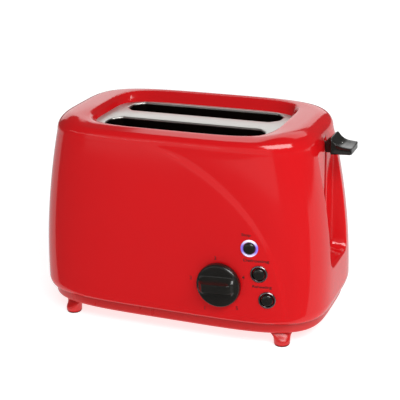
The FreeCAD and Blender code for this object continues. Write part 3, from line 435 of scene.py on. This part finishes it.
def buildHousing():
    # one closed grid: superellipse outlines stacked up the wall, a quarter round over its top edge, across
    # the ring and down to the plate; then the front's relief and the lever channel are pressed in
    angle = bodyColumns()
    z = wallHeights()
    tuck, tuckHeight = housing["bottomTuck"]
    inset = tuck * np.clip(1 - (z - housing["seam"]) / tuckHeight, 0, 1) ** 2
    halfX = wallSize(z, "halfLength") - inset
    halfY = wallSize(z, "halfDepth") - inset
    roundness = wallRoundness(z)
    theta = np.radians(np.linspace(0, 90, 15))[1:]
    radius = housing["rounding"]
    rimX, rimY = housing["rimHalf"]
    topX = wallSize(housing["top"] - radius, "halfLength")
    topY = wallSize(housing["top"] - radius, "halfDepth")
    z = np.concatenate([z, housing["top"] - radius + radius * np.sin(theta)])
    halfX = np.concatenate([halfX, topX - radius * (1 - np.cos(theta))])
    halfY = np.concatenate([halfY, topY - (topY - rimY - housing["rimFlat"]) * (1 - np.cos(theta))])
    roundness = np.concatenate([roundness, np.full(theta.size, housing["roundness"][1])])
    # ring in to the rim, then the slanted wall down to the ledge under the plate
    ledgeX, ledgeY = housing["ledgeHalf"]
    share = np.linspace(0, 1, 9)[1:]
    startX, startY = halfX[-1], halfY[-1]
    ringZ = housing["top"] - 0.3 * share ** 3
    drop = np.linspace(0, 1, 17)[1:]
    soft = drop ** 1.5 / (drop ** 1.5 + (1 - drop) ** 1.15)
    rimZ = ringZ[-1] + (housing["plateTop"] - 0.9 - ringZ[-1]) * soft
    lipZ = np.array([housing["plateTop"] - 1.0, housing["plateTop"] - 1.0, housing["plateTop"] - 3.4])
    z = np.concatenate([z, ringZ, rimZ, lipZ])
    halfX = np.concatenate([halfX, startX + (rimX - startX) * share, rimX + (ledgeX - rimX) * drop,
                            [ledgeX - 0.1, ledgeX - 2, ledgeX - 2]])
    halfY = np.concatenate([halfY, startY + (rimY - startY) * share, rimY + (ledgeY - rimY) * drop,
                            [ledgeY - 0.1, ledgeY - 3, ledgeY - 3]])
    wallEnd, rimEnd, ledgeEnd = housing["roundness"][1], housing["rimRoundness"], housing["ledgeRoundness"]
    roundness = np.concatenate([roundness, wallEnd + (rimEnd - wallEnd) * share,
                                rimEnd + (ledgeEnd - rimEnd) * drop, [ledgeEnd],
                                [housing["lipRoundness"]] * 2])
    x, y = superPoints(angle, halfX, halfY, roundness)
    height = np.repeat(z[:, None], angle.size, 1)
    (fromY, overY), (fromX, overX), (fromZ, overZ) = housing["dipRamps"]
    dip = smoothStep((-y - fromY) / overY) * smoothStep((fromX - np.abs(x)) / overX)
    dip = dip * smoothStep((height - fromZ) / overZ)
    height = height - housing["frontDip"] * dip     # the ring is a little lower along the front
    wallRows = (np.arange(z.size) < z.size - share.size - drop.size - 3)[:, None]
    front = (y < 0) & (np.abs(x) < 0.995 * halfX[:, None]) & wallRows
    y = np.where(front, y + arcRelief(x, height), y)
    x = np.where(wallRows, channelPoint(x, y, height), x)
    points = np.stack([(x * mm) + midX, (y * mm) + midY, height * mm], -1)
    faces = gridFaces(z.size, angle.size, True)
    slotLow, slotHigh = housing["slotSpan"]
    middleZ = (height[:-1, :] + height[1:, :]) / 2
    middleY = (y[:-1, :] + np.roll(y, -1, 1)[:-1, :]) / 2
    middleX = (x[:-1, :] + np.roll(x, -1, 1)[:-1, :]) / 2
    inSlot = (np.abs(middleY) < housing["slotHalf"]) & (middleX > 0)
    inSlot = inSlot & (middleZ > slotLow) & (middleZ < slotHigh)
    mesh = buildMesh("HousingShell", points, faces[~inSlot])
    piece = finishPiece("HousingShell", mesh, redShell, "shell", housingNodes, outward=False)
    addModifier(piece, "SOLIDIFY", thickness=housing["wall"] * mm, offset=-1.0, use_even_offset=False)
    return piece


buildHousing()
print("housing built")


base = {
    "inset": 4.5, "bottom": 12.0, "top": 30.5, "edge": 3.2, "wall": 2.5,
    "draft": (0.4, 0.8),                             # inset at the tray mouth's top and at the wall's foot
    "mouthHalf": 74.8, "mouth": (14.5, 23.0),        # the opening that the tray slides out of
    "dish": ((14, 0.4), (40, 0.7), (70, 0.7)),       # inset and rise of the underside
}
feet = {"radius": 7.2, "low": 0.7, "flare": 2.6, "inset": 4.7, "rootTop": 14.2}


def buildBase():
    # the base tub: superellipses inset from the housing's, a quarter round, then a slightly dished floor
    angle = bodyColumns()
    turn = np.radians(np.linspace(0, 90, 8))
    edge = base["edge"]
    low, high = base["mouth"]
    z = np.concatenate([np.linspace(base["top"], high, 5), np.linspace(high, low + 0.7, 6)[1:],
                        base["bottom"] + edge * (1 - np.sin(turn[1:]))])
    middle, foot = base["draft"]
    inset = np.concatenate([np.linspace(0, middle, 5), np.linspace(middle, foot, 6)[1:],
                            foot + edge * (1 - np.cos(turn[1:]))])
    for shrink, rise in base["dish"]:
        z = np.append(z, base["bottom"] + rise)
        inset = np.append(inset, shrink)
    halfX = wallSize(housing["seam"], "halfLength") - base["inset"] - inset
    halfY = np.maximum(wallSize(housing["seam"], "halfDepth") - base["inset"] - inset, 1.0)
    x, y = superPoints(angle, halfX, halfY, np.full(z.size, housing["roundness"][0]))
    height = np.repeat(z[:, None], angle.size, 1)
    points = np.stack([x * mm + midX, y * mm + midY, height * mm], -1)
    faces = gridFaces(z.size, angle.size, True)
    middleX = (x[:-1] + np.roll(x, -1, 1)[:-1]) / 2
    middleZ = (height[:-1] + height[1:]) / 2
    gap = (np.abs(middleX) < base["mouthHalf"]) & (y[:-1] > 30) & (middleZ < high) & (middleZ > low + 0.6)
    mesh = buildMesh("BaseTub", points, faces[~gap], [rowLoop(z.size - 1, angle.size)])
    piece = finishPiece("BaseTub", mesh, redBase, "shell", ("base",))
    addModifier(piece, "SOLIDIFY", thickness=base["wall"] * mm, offset=-1.0)
    return piece


def buildFeet():
    # four feet, one revolved profile each, flared at the top and joined as one piece
    radius, low, root = feet["radius"], feet["low"], feet["rootTop"]
    reach = radius + feet["flare"]
    corners = [(4.4, 1.3), (5.4, low), (radius - 0.2, low), (radius + 0.1, 6.0), (radius + 0.6, 9.5),
               (reach, 12.6), (reach, root), (3.0, root)]
    grid = revolve(roundedProfile(corners, [0.4, 0.9, 2.0, 3.0, 1.0, 0.3], 8), 64)
    low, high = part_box("feet")
    reach = reach * mm
    points, faces = [], []
    for x in (low.x + reach, high.x - reach):
        for y in (low.y + reach, high.y - reach):
            start = len(points) * grid.shape[0] * grid.shape[1]
            faces.append(gridFaces(grid.shape[0], grid.shape[1], True).reshape(-1, 4) + start)
            points.append(placeGrid(grid, Matrix.Translation((x, y, 0))).reshape(-1, 3))
    points = np.concatenate(points)
    halfX = (wallSize(housing["seam"], "halfLength") - base["inset"] - feet["inset"]) * mm
    halfY = (wallSize(housing["seam"], "halfDepth") - base["inset"] - feet["inset"]) * mm
    n = housing["roundness"][0]
    shareX, shareY = np.abs((points[:, 0] - midX) / halfX), np.abs((points[:, 1] - midY) / halfY)
    past = (shareX ** n + shareY ** n) ** (1 / n)
    rise = smoothStep((points[:, 2] / mm - 4) / 8)  # the flares lean in to stay under the tub
    pull = (1 + (np.maximum(past, 1) - 1) * rise)[:, None]
    points[:, :2] = (points[:, :2] - (midX, midY)) / pull + (midX, midY)
    mesh = buildMesh("MouldedFeet", points, np.concatenate(faces))
    return finishPiece("MouldedFeet", mesh, redBase, "shell", ("feet",))


trayGrip = {"squareness": 5, "scoop": 3.5, "scoopHalf": 0.45, "scoopFade": 0.12}     # the last two are shares


def buildTrayGrip():
    # the tray's red grip: superellipse sections along X with rounded ends, scooped under for the fingers
    low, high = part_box("crumb_tray_grip")
    length, depth, tall = (high - low)
    u = np.linspace(-1, 1, 81)
    section = np.linspace(0, 2 * np.pi, 33)[:-1]
    c, s = np.cos(section), np.sin(section)
    n = trayGrip["squareness"]
    reach = (np.abs(c) ** n + np.abs(s) ** n) ** (-1 / n)
    endRound = (1 - np.abs(u) ** 30) ** 0.5
    scoop = smoothStep((trayGrip["scoopHalf"] - np.abs(u)) / trayGrip["scoopFade"])[:, None]
    scoop = scoop * np.maximum(-s, 0)[None, :] * np.maximum(c, 0)[None, :]
    x = np.repeat((u * length / 2)[:, None], section.size, 1)
    y = (c * reach)[None, :] * depth / 2 * (0.35 + 0.65 * endRound[:, None])
    z = (s * reach)[None, :] * tall / 2 * (0.35 + 0.65 * endRound[:, None]) + scoop * trayGrip["scoop"] * mm
    centre = (low + high) / 2
    points = np.stack([x + centre.x, y + centre.y, z + centre.z], -1)
    ends = [rowLoop(0, section.size), rowLoop(u.size - 1, section.size)]
    mesh = buildMesh("TrayGrip", points, gridFaces(u.size, section.size, True), ends)
    return finishPiece("TrayGrip", mesh, redBase, "tray", ("crumb_tray_grip",))


buildBase()
buildFeet()
buildTrayGrip()
print("base, feet and tray grip built")


plate = {
    "half": (85.0, 43.8), "roundness": 5.0, "thick": 0.8, "lip": 1.2, "skirt": 12.0,
    "slotHalf": 73.6, "slotY": (11.0, 38.5), "corner": 8.0, "cornerRound": 2.5,
}


def slotLoop(side, grow, steps=7):
    # outline of one slot with cut and slightly rounded corners, as points in mm
    length, cut, soft = plate["slotHalf"] + grow, plate["corner"], plate["cornerRound"]
    low, high = plate["slotY"][0] - grow, plate["slotY"][1] + grow
    corners = [(-length + cut, low), (length - cut, low), (length, low + cut), (length, high - cut),
               (length - cut, high), (-length + cut, high), (-length, high - cut), (-length, low + cut)]
    points = []
    for i, corner in enumerate(corners):
        before, after = np.array(corners[i - 1]), np.array(corners[(i + 1) % 8])
        corner = np.array(corner)
        start = corner + (before - corner) / np.linalg.norm(before - corner) * soft
        end = corner + (after - corner) / np.linalg.norm(after - corner) * soft
        for t in np.linspace(0, 1, steps):
            points.append((1 - t) ** 2 * start + 2 * t * (1 - t) * corner + t * t * end)
    points = np.array(points)
    points[:, 1] *= side
    return points


def buildSlotPlate():
    # flat sheet filled between its outline and the slots' rolled lips, which curl down into skirts
    top, lip = housing["plateTop"], plate["lip"]
    angle = np.linspace(0, 2 * np.pi, 129)[:-1]
    x, y = superPoints(angle, [plate["half"][0]], [plate["half"][1]], [plate["roundness"]])
    points = [np.stack([x[0], y[0], np.full(angle.size, top)], -1)]
    border = np.arange(angle.size)
    edges = np.stack([border, np.roll(border, -1)], -1)
    turn = np.radians(np.linspace(0, 90, 6))
    rings = [(lip * (1 - math.sin(t)), -lip * (1 - math.cos(t))) for t in turn]
    rings += [(0.0, -lip - 0.6), (0.0, -lip - plate["skirt"] + 1)]
    faces = []
    for side in (-1, 1):
        loops = [slotLoop(side, grow) for grow, drop in rings]
        start = sum(len(part) for part in points)
        faces.append(gridFaces(len(rings), len(loops[0]), True).reshape(-1, 4) + start)
        points += [np.column_stack([loop, np.full(len(loop), top + drop)])
                   for loop, (grow, drop) in zip(loops, rings)]
    solid = np.concatenate(points) * mm + (midX, midY, 0)
    mesh = bpy.data.meshes.new("SlotPlate")
    mesh.from_pydata(solid.tolist(), edges.tolist(), np.concatenate(faces).tolist())
    work = bmesh.new()
    work.from_mesh(mesh)
    level = (top - 0.01) * mm
    flat = [edge for edge in work.edges if min(vertex.co.z for vertex in edge.verts) > level]
    bmesh.ops.triangle_fill(work, use_beauty=True, use_dissolve=False, edges=flat)
    bmesh.ops.recalc_face_normals(work, faces=work.faces)
    upward = sum(face.normal.z * face.calc_area() for face in work.faces)
    if upward < 0:
        bmesh.ops.reverse_faces(work, faces=work.faces)
    work.to_mesh(mesh)
    work.free()
    piece = finishPiece("SlotPlate", mesh, plateSteel, "shell", ("slot_plate",),
                        outward=False)
    mesh.materials.append(throatSteelPaintedShade)              # the skirts below the lips are darkened: painted shade of the deep slots
    centres = np.zeros(len(mesh.polygons) * 3)
    mesh.polygons.foreach_get("center", centres)
    below = centres[2::3] < (top - lip - 1.0) * mm
    mesh.polygons.foreach_set("material_index", below.astype(np.int32))
    addModifier(piece, "SOLIDIFY", thickness=plate["thick"] * mm, offset=-1.0)
    addModifier(piece, "EDGE_SPLIT", split_angle=math.radians(40))
    return piece


buildSlotPlate()
print("slot plate built")


dial = {
    "radius": 19.3, "gap": 0.9, "disc": 6.4, "shoulder": 2.4, "dish": 0.9, "angle": 2.5,
    "gripHalf": 3.4, "gripTop": 13.5, "gripLength": 10.6, "flank": 5.6,
}


def buildDial():
    # round disc as a height field over polar rings: flat face, rounded shoulder, and a grip bar that slopes
    # to two scoops beside it and down to the rim at its ends
    radius = dial["radius"]
    rim = radius - 3 + 3 * np.sin(np.linspace(0, np.pi / 2, 14))[1:]
    ring = np.concatenate([np.linspace(0, radius - 3, 52), rim])
    angle = np.linspace(0, 2 * np.pi, 241)[:-1]
    u = ring[:, None] * np.cos(angle)[None, :]
    v = ring[:, None] * np.sin(angle)[None, :]
    r = np.repeat(ring[:, None], angle.size, 1)
    shoulder = dial["shoulder"]
    over = np.clip((r - (radius - shoulder)) / shoulder, 0, 1)
    dished = dial["dish"] * smoothStep(1 - r / (radius - 2))
    face = dial["disc"] - dished - shoulder * (1 - np.sqrt(1 - over ** 2))
    rise = dial["gripTop"] - dial["disc"]
    across = np.clip((np.abs(v) - dial["gripHalf"]) / dial["flank"], 0, 1)
    along = np.clip((np.abs(u) - dial["gripLength"]) / (radius - 1.5 - dial["gripLength"]), 0, 1)
    flank = (1 - across) ** 1.7
    slope = 1 - smoothStep(along) * 0.97
    height = face + rise * flank * slope + dished * flank
    grid = np.stack([u, v, height], -1)
    gap = dial["gap"]
    edge = [(radius, (dial["disc"] - shoulder) * 0.6), (radius + 0.15, gap + 0.3), (radius - 0.1, gap),
            (radius - 1.5, gap)]
    side = revolve(edge, angle.size)
    grid = np.concatenate([grid[1:], side], 0)
    turn = Matrix.Rotation(math.radians(dial["angle"]), 4, "Z")
    joint = joints["dial_turn"]
    matrix = localFrame(joint["pos_m"], joint["axis"]) @ turn
    rows = grid.shape[0]
    mesh = buildMesh("BrowningDial", placeGrid(grid, matrix), gridFaces(rows, angle.size, True),
                     [rowLoop(0, angle.size), rowLoop(rows - 1, angle.size)])
    return finishPiece("BrowningDial", mesh, blackGloss, "dial", ("browning_dial",))


buildDial()
print("dial built")


knob = {
    "span": (121.6, 146.0), "tip": 1.4,              # along X, and the length of its rounded end
    "neckHalf": 5.0, "half": 12.6, "widen": (125.6, 128.4), "squareness": 8.0,
    "soft": 11, "waist": 0.12, "sag": 0.8,
    "top": ((121.6, 168.6), (124.6, 171.2), (126.8, 173.6), (128.4, 174.3), (131.0, 170.8), (133.5, 168.7),
            (137.0, 167.3), (141.0, 166.7), (146.0, 166.4)),
    "bottom": ((121.6, 158.4), (127.0, 158.7), (134.0, 159.6), (146.0, 160.3)),
}


def buildKnob():
    # finger lever: rounded rectangular sections along X, with a humped and dished top line
    low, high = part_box("lever_knob")
    first, last = knob["span"]
    straight = last - knob["tip"]
    tip = straight + knob["tip"] * np.sin(np.linspace(0, np.pi / 2, 8))[1:]
    x = np.concatenate([[first, first + 0.3], np.linspace(first + 0.8, straight, 56), tip])
    smoothX = np.linspace(first, last, 200)
    soft = knob["soft"]                             # samples that each line is rounded over
    kernel = np.hanning(2 * soft + 1) / np.hanning(2 * soft + 1).sum()

    def softLine(points):
        raw = np.interp(smoothX, [p[0] for p in points], [p[1] for p in points])
        padded = np.concatenate([np.full(soft, raw[0]), raw, np.full(soft, raw[-1])])
        return np.interp(x, smoothX, np.convolve(padded, kernel, "valid"))

    top, bottom = softLine(knob["top"]), softLine(knob["bottom"])
    start, end = knob["widen"]
    half = knob["neckHalf"] + (knob["half"] - knob["neckHalf"]) * smoothStep((x - start) / (end - start))
    endShrink = np.ones_like(x)
    endShrink[:2] = (0.94, 0.985)
    tail = np.clip((x - straight) / knob["tip"], 0, 1)
    endShrink = endShrink - 0.16 * (1 - np.sqrt(1 - tail ** 2))
    section = np.linspace(0, 2 * np.pi, 65)[:-1]
    c, s = np.cos(section), np.sin(section)
    n = knob["squareness"]
    reach = (np.abs(c) ** n + np.abs(s) ** n) ** (-1 / n)
    unitY, unitZ = c * reach, s * reach
    pinch = 1 - knob["waist"] * smoothStep((x - 127) / 6)[:, None] * (1 - unitZ ** 2)[None, :]
    y = unitY[None, :] * half[:, None] * endShrink[:, None] * pinch
    sag = knob["sag"] * smoothStep((x - 129) / 8)[:, None] * (1 - np.clip(unitY, -1, 1) ** 2)[None, :]
    z = (top + bottom)[:, None] / 2 + unitZ[None, :] * ((top - bottom) / 2 * endShrink)[:, None]
    z = z - sag * np.maximum(unitZ, 0)[None, :]
    scale = (high.x - low.x) / (last - first)        # metres per mm, to the CAD knob's length
    reachX = low.x + (np.repeat(x[:, None], section.size, 1) - first) * scale
    points = np.stack([reachX, y * mm + midY, z * mm], -1)
    ends = [rowLoop(0, section.size), rowLoop(x.size - 1, section.size)]
    mesh = buildMesh("LeverKnob", points, gridFaces(x.size, section.size, True), ends)
    piece = finishPiece("LeverKnob", mesh, blackGloss, "lift", ("lever_knob",))
    addModifier(piece, "EDGE_SPLIT", split_angle=math.radians(50))
    return piece


buildKnob()
print("lever knob built")


button = {"radius": 5.1, "proud": 2.4, "flat": 2.4, "drop": 1.7, "ring": 7.6, "hole": 5.3, "ringProud": 1.3,
          "steps": 64, "ringSteps": 72, "arcSteps": 5, "paintedHighlightRows": (4, 14)}


def buttonFrame(name):
    # frame on the wall at a button: its bezel's middle, moved out along the joint's axis
    normal = -Vector(joints[name + "_press"]["axis"]).normalized()
    low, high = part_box(name + "_bezel")
    return localFrame((low + high) / 2 + normal * 1.5 * mm, normal)


def buildButton(name):
    # pressed cap: a pillow, flat in the middle and falling as a quarter ellipse to its plain side
    radius, proud = button["radius"], button["proud"]
    turn = np.radians(np.linspace(0, 90, 14))
    edge = button["flat"] + (radius - button["flat"]) * np.sin(turn)
    fall = proud - button["drop"] * (1 - np.cos(turn))
    profile = np.concatenate([[(0.05, proud), (button["flat"] / 2, proud)], np.stack([edge, fall], -1),
                              [(radius, -6.0)]])
    steps = button["steps"]
    grid = revolve(profile, steps)
    rows, pieceName = grid.shape[0], name.title() + "Button"
    mesh = buildMesh(pieceName, placeGrid(grid, buttonFrame(name)), gridFaces(rows, steps, True),
                     [rowLoop(0, steps), rowLoop(rows - 1, steps)])
    return finishPiece(pieceName, mesh, blackGloss, name, (name + "_button",))


def buildBezel(name):
    # ring round the button: a rounded band that dips inside to the button's gap
    outer, hole, proud = button["ring"], button["hole"], button["ringProud"]
    corners = [(outer - 0.6, -1.6), (outer, -0.6), (outer - 0.15, 0.7), (outer - 0.9, proud),
               (hole + 0.5, proud - 0.3), (hole, 0.1), (hole, -4.0)]
    steps = button["ringSteps"]
    grid = revolve(roundedProfile(corners, [0.4, 0.5, 0.5, 0.6, 0.5], button["arcSteps"]), steps)
    material = ringLitAndPaintedReflection if name == "cancel" else ringChrome
    pieceName = name.title() + "Bezel"
    mesh = buildMesh(pieceName, placeGrid(grid, buttonFrame(name)), gridFaces(grid.shape[0], steps, True))
    piece = finishPiece(pieceName, mesh, material, "shell", (name + "_bezel",), outward=False)
    if name != "cancel":
        mesh.materials.append(edgeChromePaintedHighlight)           # the outer edge is left bright: a painted highlight of the key light's reflection
        row = np.arange(len(mesh.polygons)) // steps
        low, high = button["paintedHighlightRows"]
        mesh.polygons.foreach_set("material_index", ((row >= low) & (row < high)).astype(np.int32))
    addModifier(piece, "SOLIDIFY", thickness=0.15 * mm, offset=-1.0)
    return piece


for buttonName in ("cancel", "defrost", "reheat"):
    buildButton(buttonName)
    buildBezel(buttonName)
print("buttons built")


marks = {
    "figure": 3.4, "dialRing": 25.0, "ringCentre": (49.0, 54.6), "lift": 0.06, "weight": 0.06,
    "figureAngles": (241.8, 170.1, 95.0, 24.8, -46.5),
    "word": 2.5, "wordRise": 11.2,                   # cap height, and middle of the word above its button
    "words": (("cancel", "Stop", 8.0, -3.0), ("defrost", "Defrosting", 21.8, -2.5),
              ("reheat", "Reheating", 16.3, -4.4)),  # with each word's width and its shift from the button
}


def flatText(text, size, width):
    # the text's filled outline in the XY plane about its own middle, as vertex coordinates in mm and faces
    curve = bpy.data.curves.new("mark", "FONT")
    curve.body = text
    curve.size = size * 1.35
    curve.offset = marks["weight"]
    carrier = bpy.data.objects.new("mark", curve)
    bpy.context.scene.collection.objects.link(carrier)
    bpy.context.view_layer.update()
    flat = bpy.data.meshes.new_from_object(carrier.evaluated_get(bpy.context.evaluated_depsgraph_get()))
    coords = np.zeros(len(flat.vertices) * 3)
    flat.vertices.foreach_get("co", coords)
    coords = coords.reshape(-1, 3)[:, :2]
    low, high = coords.min(0), coords.max(0)
    coords = coords - (low + high) / 2
    if width:
        coords[:, 0] *= width / (high[0] - low[0])
    faces = [tuple(polygon.vertices) for polygon in flat.polygons]
    bpy.data.objects.remove(carrier)
    bpy.data.curves.remove(curve)
    bpy.data.meshes.remove(flat)
    return coords, faces


def buildMarks():
    # dial figures 1 to 5 and three plain words, laid on the front face point by point
    placed = []
    cx, cz = marks["ringCentre"]
    for i, turn in enumerate(marks["figureAngles"]):
        turn = math.radians(turn)
        x, z = cx + marks["dialRing"] * math.cos(turn), cz + marks["dialRing"] * math.sin(turn)
        placed.append((str(i + 1), marks["figure"], None, x, z))
    for name, word, width, shift in marks["words"]:
        origin = buttonFrame(name).translation
        x, z = (origin.x - midX) / mm + shift, origin.z / mm + marks["wordRise"]
        placed.append((word, marks["word"], width, x, z))
    points, faces = np.zeros((0, 2)), []
    for text, size, width, x, z in placed:
        coords, textFaces = flatText(text, size, width)
        faces += [tuple(index + len(points) for index in face) for face in textFaces]
        points = np.concatenate([points, coords + (x, z)])
    depth = frontDepth(points[:, 0], points[:, 1]) - marks["lift"]
    solid = np.stack([points[:, 0] * mm + midX, depth * mm + midY, points[:, 1] * mm], -1)
    mesh = bpy.data.meshes.new("PrintedMarks")
    mesh.from_pydata(solid.tolist(), [], faces)
    mesh.update()
    return finishPiece("PrintedMarks", mesh, printInk, "shell", (), smooth=False,
                       outward=False)


buildMarks()
print("marks printed")


view = {"azimuth": 22.37, "elevation": 20.52, "roll": -1.52, "distance": 1001.4,
        "target": (3.27, 0.0, 99.99), "lens": 98.81, "sensor": 36.0}


def direction(azimuth, elevation):
    # unit vector from the toaster, azimuth in radians from the front towards +X
    level = math.cos(elevation)
    return Vector((math.sin(azimuth) * level, -math.cos(azimuth) * level, math.sin(elevation)))


def addCamera():
    azimuth, elevation, roll = (math.radians(view[key]) for key in ("azimuth", "elevation", "roll"))
    back = direction(azimuth, elevation)
    right = (-back).cross(Vector((0, 0, 1))).normalized()
    up = right.cross(-back)
    turnedRight = right * math.cos(roll) + up * math.sin(roll)
    turnedUp = up * math.cos(roll) - right * math.sin(roll)
    target = Vector(view["target"]) * mm + Vector((midX, midY, 0))
    data = bpy.data.cameras.new("Camera")
    data.lens = view["lens"]
    data.sensor_width = view["sensor"]
    data.clip_start = 0.05
    camera = bpy.data.objects.new("Camera", data)
    place = Matrix.Translation(target + back * view["distance"] * mm)
    camera.matrix_world = place @ Matrix((turnedRight, turnedUp, back)).transposed().to_4x4()
    bpy.context.scene.collection.objects.link(camera)
    bpy.context.scene.camera = camera


studio = {
    "world": 0.12, "floorReach": 5.0, "floorAlbedo": 0.5, "floorGlow": 0.74,
    "lights": (     # azimuth from the front, elevation and distance; size in metres; brightness is radiance
        {"name": "KeySoftbox", "from": (47, 43, 1.5), "size": (1.25, 0.62), "brightness": 9.1},
        {"name": "StripLight", "from": (-40, 15, 1.9), "size": (1.9, 0.05), "brightness": 3.0},
        {"name": "BackSoftbox", "from": (-152, 19, 2.0), "size": (2.4, 0.9), "brightness": 1.32},
        {"name": "BackdropLight", "from": (178, 50, 2.2), "size": (2.2, 1.2), "brightness": 1.45},
        {"name": "FrontCard", "place": (-0.22, -0.85, 0.3), "facing": (0, 1, 0), "size": (1.35, 0.6),
         "brightness": 0.4},
        {"name": "FloorCard", "place": (-0.2, 1.162, 0.002), "facing": (0, 0, 1), "size": (2.8, 2.48),
         "brightness": 0.64},
    ),
}


def addLight(light):
    # a softbox or card: aimed at the toaster from a direction, or standing at a place and facing a way
    size = light["size"]
    data = bpy.data.lights.new(light["name"], "AREA")
    data.shape = "RECTANGLE"
    data.size, data.size_y = size
    data.energy = light["brightness"] * math.pi * size[0] * size[1]
    lamp = bpy.data.objects.new(light["name"], data)
    if "from" in light:
        azimuth, elevation, distance = light["from"]
        away = direction(math.radians(azimuth), math.radians(elevation))
        lamp.location = Vector((midX, midY, 0.1)) + away * distance
    else:
        away = -Vector(light["facing"])
        lamp.location = light["place"]
    lamp.rotation_euler = away.to_track_quat("Z", "Y").to_euler()
    lamp.visible_camera = False
    bpy.context.scene.collection.objects.link(lamp)


def addStage():
    world = bpy.data.worlds.new("Studio")
    bpy.context.scene.world = world
    world.use_nodes = True
    background = world.node_tree.nodes["Background"]
    background.inputs["Color"].default_value = (1, 1, 1, 1)
    background.inputs["Strength"].default_value = studio["world"]
    mesh = bpy.data.meshes.new("Floor")
    reach = studio["floorReach"]
    corners = [(-reach, -reach, 0), (reach, -reach, 0), (reach, reach, 0), (-reach, reach, 0)]
    mesh.from_pydata(corners, [], [(0, 1, 2, 3)])
    floor = bpy.data.objects.new("Floor", mesh)
    bpy.context.scene.collection.objects.link(floor)
    albedo = studio["floorAlbedo"]
    material, tree, shader = newMaterial("White paper sweep", {
        "Base Color": (albedo, albedo, albedo, 1), "Roughness": 0.9, "Emission Color": (1, 1, 1, 1),
        "Emission Strength": studio["floorGlow"]})
    floor.visible_glossy = False                    # the cards give the gloss its reflections instead
    mesh.materials.append(material)


addCamera()
addStage()
for light in studio["lights"]:
    addLight(light)
bpy.context.scene.view_settings.view_transform = "Standard"
print("camera and lights set")
